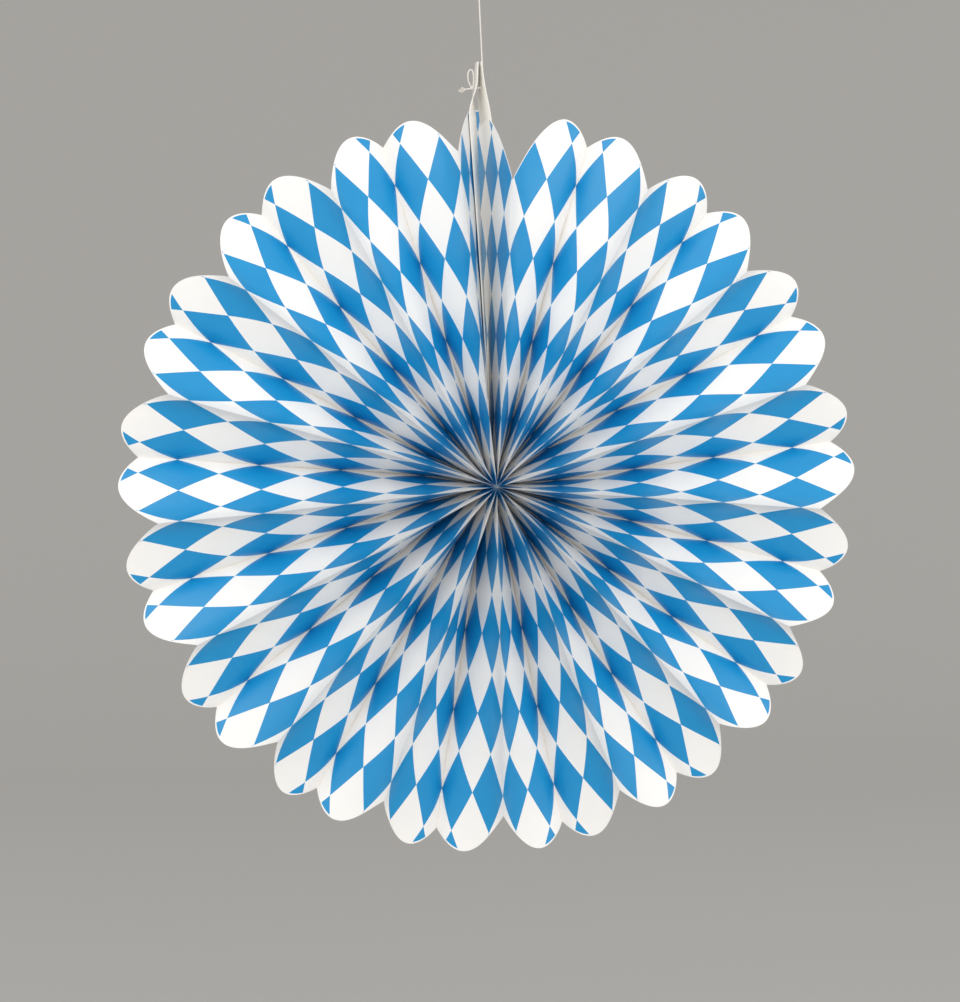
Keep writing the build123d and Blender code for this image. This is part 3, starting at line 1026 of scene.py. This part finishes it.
class FAN_OT_end_strips(bpy.types.Operator):
    """Cut the two card strips and turn them together at the tie"""

    bl_idname = "fan.end_strips"
    bl_label = "End Strips"

    def execute(self, context):
        paper, _, strip, string = scene_settings()[:4]
        card = white_card()
        tie_place = Vector((0, 0, -string.tie_drop))
        tie_radius = paper.hub_drop - string.tie_drop
        punch_reach = 20 * MM
        for name, is_left in (("left_card_strip", True), ("right_card_strip", False)):
            plain = strip_mesh(name, paper, strip, is_left, tie_radius)
            mesh = punched(plain, tie_place, strip.hole_diameter, punch_reach)
            mesh.name = name
            mesh.materials.clear()
            mesh.materials.append(card)
            mesh.shade_smooth()
            mesh.set_sharp_from_angle(angle=math.radians(50))
            piece = link_piece(name, mesh)
            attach(piece, "root")
            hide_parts("left_end_strip" if is_left else "right_end_strip")
        return {"FINISHED"}


# String
def route_points(name, corners):
    """Points along a smooth line that is steered by the given corners."""
    curve = bpy.data.curves.new(name, "CURVE")
    curve.dimensions = "3D"
    curve.resolution_u = 48
    spline = curve.splines.new("NURBS")
    spline.points.add(len(corners) - 1)
    for point, corner in zip(spline.points, corners):
        point.co = (*corner, 1)
    spline.order_u = 3
    spline.use_endpoint_u = True
    maker = link_piece(name, curve)
    mesh = bpy.data.meshes.new_from_object(maker.evaluated_get(bpy.context.evaluated_depsgraph_get()))
    points = [vertex.co.copy() for vertex in mesh.vertices]
    bpy.data.objects.remove(maker)
    bpy.data.meshes.remove(mesh)
    return points


def carried_sides(line):
    """A direction across the line at each point, carried along without twisting."""
    steps = [(after - before).normalized() for before, after in zip(line, line[1:])]
    steps.append(steps[-1])
    side = steps[0].orthogonal().normalized()
    sides = []
    for step in steps:
        side = (side - step * side.dot(step)).normalized()
        sides.append((side, step.cross(side)))
    return sides


def strands_along(line, string):
    """The middle lines of the strands twisted around a line."""
    strand_radius = strand_size(string)
    offset = string.diameter / 2 - strand_radius
    sides = carried_sides(line)
    strands = []
    for strand in range(string.strands):
        run = 0.0
        points = []
        for index, (point, (side, other)) in enumerate(zip(line, sides)):
            if index:
                run += (point - line[index - 1]).length
            turn = math.tau * (run / string.lay_length + strand / string.strands)
            points.append(point + (side * math.cos(turn) + other * math.sin(turn)) * offset)
        strands.append(points)
    return strands


def strand_size(string):
    """The radius of strands that just touch inside the string's thickness."""
    share = math.sin(math.pi / string.strands)
    return string.diameter / 2 * share / (1 + share)


def tube_mesh(name, tubes, material):
    """One mesh of round tubes, each given as its middle line and the radius at its start, middle and end."""
    corners = []
    faces = []
    ring = 6
    for line, radii in tubes:
        start = len(corners)
        last = len(line) - 1
        for index, (point, (side, other)) in enumerate(zip(line, carried_sides(line))):
            place = 2 * index / last
            radius = radii[0] + (radii[1] - radii[0]) * place
            if place > 1:
                radius = radii[1] + (radii[2] - radii[1]) * (place - 1)
            for step in range(ring):
                turn = math.tau * step / ring
                corners.append(point + (side * math.cos(turn) + other * math.sin(turn)) * radius)
        for index in range(last):
            low = start + index * ring
            for step in range(ring):
                after = (step + 1) % ring
                faces.append((low + step, low + after, low + ring + after, low + ring + step))
        faces.append(tuple(start + step for step in reversed(range(ring))))
        faces.append(tuple(start + last * ring + step for step in range(ring)))
    mesh = bpy.data.meshes.new(name)
    mesh.from_pydata(corners, [], faces)
    mesh.shade_smooth()
    mesh.materials.append(material)
    return mesh


def knot_line(middle, axis, string):
    """The line of a tight overhand knot around an axis."""
    across = axis.orthogonal().normalized()
    other = axis.cross(across)
    reach = (string.knot_diameter - string.diameter) / 2 / 3
    rise = (string.knot_length - string.diameter) / 2
    steps = 72
    line = []
    for step in range(steps + 1):
        turn = math.tau * step / steps
        x = math.sin(turn) + 2 * math.sin(2 * turn)
        y = math.cos(turn) - 2 * math.cos(2 * turn)
        line.append(middle + (across * x + other * y) * reach - axis * math.sin(3 * turn) * rise)
    return line


def frayed_end(start, end, string):
    """Fibres that leave the cut end, swell apart and close again at their tips."""
    run = end - start
    side = Vector((0, 1, 0))
    other = run.normalized().cross(side)
    fibres = 44
    fibre_radii = [0.13 * MM, 0.15 * MM, 0.06 * MM]
    shortening = 0.28
    bundle = 0.3 * string.diameter
    golden_turn = math.pi * (3 - math.sqrt(5))
    steps = 10
    tubes = []
    for fibre in range(fibres):
        turn = fibre * golden_turn
        spread = math.sqrt((fibre + 0.5) / fibres)
        reach = 1 - shortening * ((fibre * 7) % fibres) / fibres
        line = []
        for step in range(steps + 1):
            part = step / steps
            swell = spread * (bundle + string.fray_swell * math.sin(math.pi * part**1.3) ** 2)
            away = (side * math.cos(turn) + other * math.sin(turn)) * swell * (1 - 0.5 * part)
            line.append(start + run * part * reach + away)
        tubes.append((line, fibre_radii))
    return tubes


class FAN_OT_string(bpy.types.Operator):
    """Twist the string, tie it at the strips and finish it in its loop"""

    bl_idname = "fan.string"
    bl_label = "String"

    def execute(self, context):
        string = scene_settings()[3]
        cotton = cotton_string()
        strand = strand_size(string)
        thick = [strand, strand, strand]
        half = string.diameter / 2
        tie = -string.tie_drop

        # Tie: the knot, its bow above it and the frayed cut end beside it
        middle = -string.knot_face - string.knot_length / 2
        bow_foot = tie + string.knot_diameter / 4
        bow_top = tie + string.knot_diameter / 2 + string.bow_height
        bow_near = middle + half + 1 * MM
        bow_side = bow_near - string.bow_width
        bow_turn = bow_foot + string.bow_width * 0.4 + string.diameter
        bow = route_points("bow_route", [
            (middle + half, 0, bow_foot),
            (bow_near, 0, bow_top),
            (bow_side, 0, bow_top),
            (bow_side, 0, bow_turn),
            (middle, 0, bow_foot - string.knot_diameter / 4),
        ])
        tail_tip = -string.knot_face - string.knot_length - string.tail_length
        tail_end = Vector((tail_tip, 0, tie - string.tail_droop))
        tail_start = Vector((middle, 0, tie))
        fray_share = 0.42
        fray_start = tail_start.lerp(tail_end, fray_share)
        tail = [tail_start.lerp(fray_start, step / 10) for step in range(11)]
        knot = knot_line(tail_start, Vector((1, 0, 0)), string)
        tubes = [(line, thick) for route in (bow, tail, knot) for line in strands_along(route, string)]
        tubes += frayed_end(fray_start, tail_end, string)
        tie_piece = link_piece("tie_bow", tube_mesh("tie_bow", tubes, cotton))
        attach(tie_piece, "root")
        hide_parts("tie_knot")

        # Loop: a knot with the loop for the hook above it
        loop_foot = half - string.loop_height
        loop = route_points("loop_route", [
            (-half, 0, loop_foot),
            (-string.loop_width / 2, 0, half),
            (string.loop_width / 2, 0, half),
            (half, 0, loop_foot),
        ])
        knot = knot_line(Vector((0, 0, loop_foot)), Vector((0, 0, 1)), string)
        tubes = [(line, thick) for route in (loop, knot) for line in strands_along(route, string)]
        loop_piece = link_piece("hook_loop", tube_mesh("hook_loop", tubes, cotton))
        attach(loop_piece, "root")
        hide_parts("hanging_loop")

        # Straight string, taut from the tie to the loop's knot
        top = loop_foot - string.knot_length / 2
        corner = Vector((string.lean, 0, tie))
        up = Vector((0, 0, top)) - corner
        past_corner = 4 * MM
        before_knot = 8 * MM
        route = route_points("string_route", [
            (-string.knot_face, 0, tie),
            corner,
            corner + up * (past_corner / up.length),
            corner + up * (1 - before_knot / up.length),
            corner + up,
        ])
        tubes = [(line, thick) for line in strands_along(route, string)]
        piece = link_piece("taut_string", tube_mesh("taut_string", tubes, cotton))
        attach(piece, "root")
        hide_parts("hanging_string")
        return {"FINISHED"}


class FAN_OT_stage(bpy.types.Operator):
    """Set the floor, the lights and the camera"""

    bl_idname = "fan.stage"
    bl_label = "Stage"

    def execute(self, context):
        paper = scene_settings()[0]
        stage = scene_settings()[-1]
        scene = context.scene

        # Floor and backdrop: one pale sheet that curves up far behind the fan
        floor_level = -1.1
        front_edge = -3.6
        bend_start = 4.4
        bend = 2.2
        top_edge = 2.4
        half_width = 3.0
        steps = 24
        profile = [(front_edge, floor_level), (bend_start, floor_level)]
        for step in range(1, steps + 1):
            turn = math.pi / 2 * step / steps
            profile.append((bend_start + bend * math.sin(turn), floor_level + bend * (1 - math.cos(turn))))
        profile.append((bend_start + bend, top_edge))
        corners = [(side * half_width, y, z) for y, z in profile for side in (-1, 1)]
        faces = [(2 * i, 2 * i + 1, 2 * i + 3, 2 * i + 2) for i in range(len(profile) - 1)]
        mesh = bpy.data.meshes.new("studio_floor")
        mesh.from_pydata(corners, [], faces)
        mesh.shade_smooth()
        floor = link_piece("studio_floor", mesh)
        material, tree, shader = new_material("Matte studio paper")
        shader.inputs["Base Color"].default_value = linear("#bdbbb8")
        shader.inputs["Roughness"].default_value = 0.9
        mesh.materials.append(material)

        # Light: a large soft key from the upper left, a front light, a weak fill and an even sky
        for name, place, width, watts in (
            ("Key light", (-1.9, -2.7, 1.35), 3.0, 32.0),
            ("Front light", (0.3, -4.6, 0.2), 2.2, 70.0),
            ("Fill light", (2.2, -2.0, -0.2), 1.6, 11.0),
        ):
            light = bpy.data.lights.new(name, "AREA")
            light.shape = "DISK"
            light.size = width
            light.energy = watts
            lamp = bpy.data.objects.new(name, light)
            lamp.location = place
            aim = hub_place(paper) - Vector(place)
            lamp.rotation_euler = aim.to_track_quat("-Z", "Y").to_euler()
            lamp.visible_camera = False
            scene.collection.objects.link(lamp)
        world = bpy.data.worlds.new("Studio sky")
        world.use_nodes = True
        world.node_tree.nodes["Background"].inputs["Color"].default_value = linear("#f2f1ef")
        world.node_tree.nodes["Background"].inputs["Strength"].default_value = 0.8
        scene.world = world
        scene.view_settings.view_transform = "Standard"

        # Camera: the photograph's angle, with the rim's centre a little right of and above the middle
        back = Vector((
            math.sin(stage.azimuth) * math.cos(stage.elevation),
            -math.cos(stage.azimuth) * math.cos(stage.elevation),
            math.sin(stage.elevation),
        ))
        right = Vector((math.cos(stage.azimuth), math.sin(stage.azimuth), 0))
        up = back.cross(right)
        pixel = stage.view_width / PHOTO_WIDTH
        rim_pixel = (488.7, 483.6)
        rim_centre = hub_place(paper)
        middle = (
            rim_centre
            - right * (rim_pixel[0] - PHOTO_WIDTH / 2) * pixel
            + up * (rim_pixel[1] - PHOTO_HEIGHT / 2) * pixel
        )
        camera = bpy.data.cameras.new("Camera")
        camera.lens = camera.sensor_width * stage.distance / (pixel * PHOTO_HEIGHT)
        viewer = bpy.data.objects.new("Camera", camera)
        viewer.location = middle + back * stage.distance
        viewer.rotation_euler = (-back).to_track_quat("-Z", "Y").to_euler()
        scene.collection.objects.link(viewer)
        scene.camera = viewer
        return {"FINISHED"}


class FAN_PT_sidebar(bpy.types.Panel):
    """The fan's pieces and settings"""

    bl_idname = "FAN_PT_sidebar"
    bl_label = "Paper Fan Rosette"
    bl_space_type = "VIEW_3D"
    bl_region_type = "UI"
    bl_category = "Paper Fan"

    def draw(self, context):
        for operator in PIECES:
            self.layout.operator(operator.bl_idname)
        for settings in scene_settings():
            column = self.layout.column(align=True)
            for name in settings.__annotations__:
                column.prop(settings, name)


SETTINGS = {
    "fan_paper": FanPaperSettings,
    "fan_print": FanPrintSettings,
    "fan_strip": FanStripSettings,
    "fan_string": FanStringSettings,
    "fan_stage": FanStageSettings,
}
PIECES = (FAN_OT_pleated_paper, FAN_OT_end_strips, FAN_OT_string, FAN_OT_stage)


def register():
    for name, settings in SETTINGS.items():
        bpy.utils.register_class(settings)
        setattr(bpy.types.Scene, name, bpy.props.PointerProperty(type=settings))
    for operator in PIECES:
        bpy.utils.register_class(operator)
    bpy.utils.register_class(FAN_PT_sidebar)


def unregister():
    bpy.utils.unregister_class(FAN_PT_sidebar)
    for operator in reversed(PIECES):
        bpy.utils.unregister_class(operator)
    for name, settings in reversed(SETTINGS.items()):
        delattr(bpy.types.Scene, name)
        bpy.utils.unregister_class(settings)


def main():
    register()
    bpy.ops.fan.pleated_paper()
    bpy.ops.fan.end_strips()
    bpy.ops.fan.string()
    bpy.ops.fan.stage()


if __name__ == "__main__":
    main()
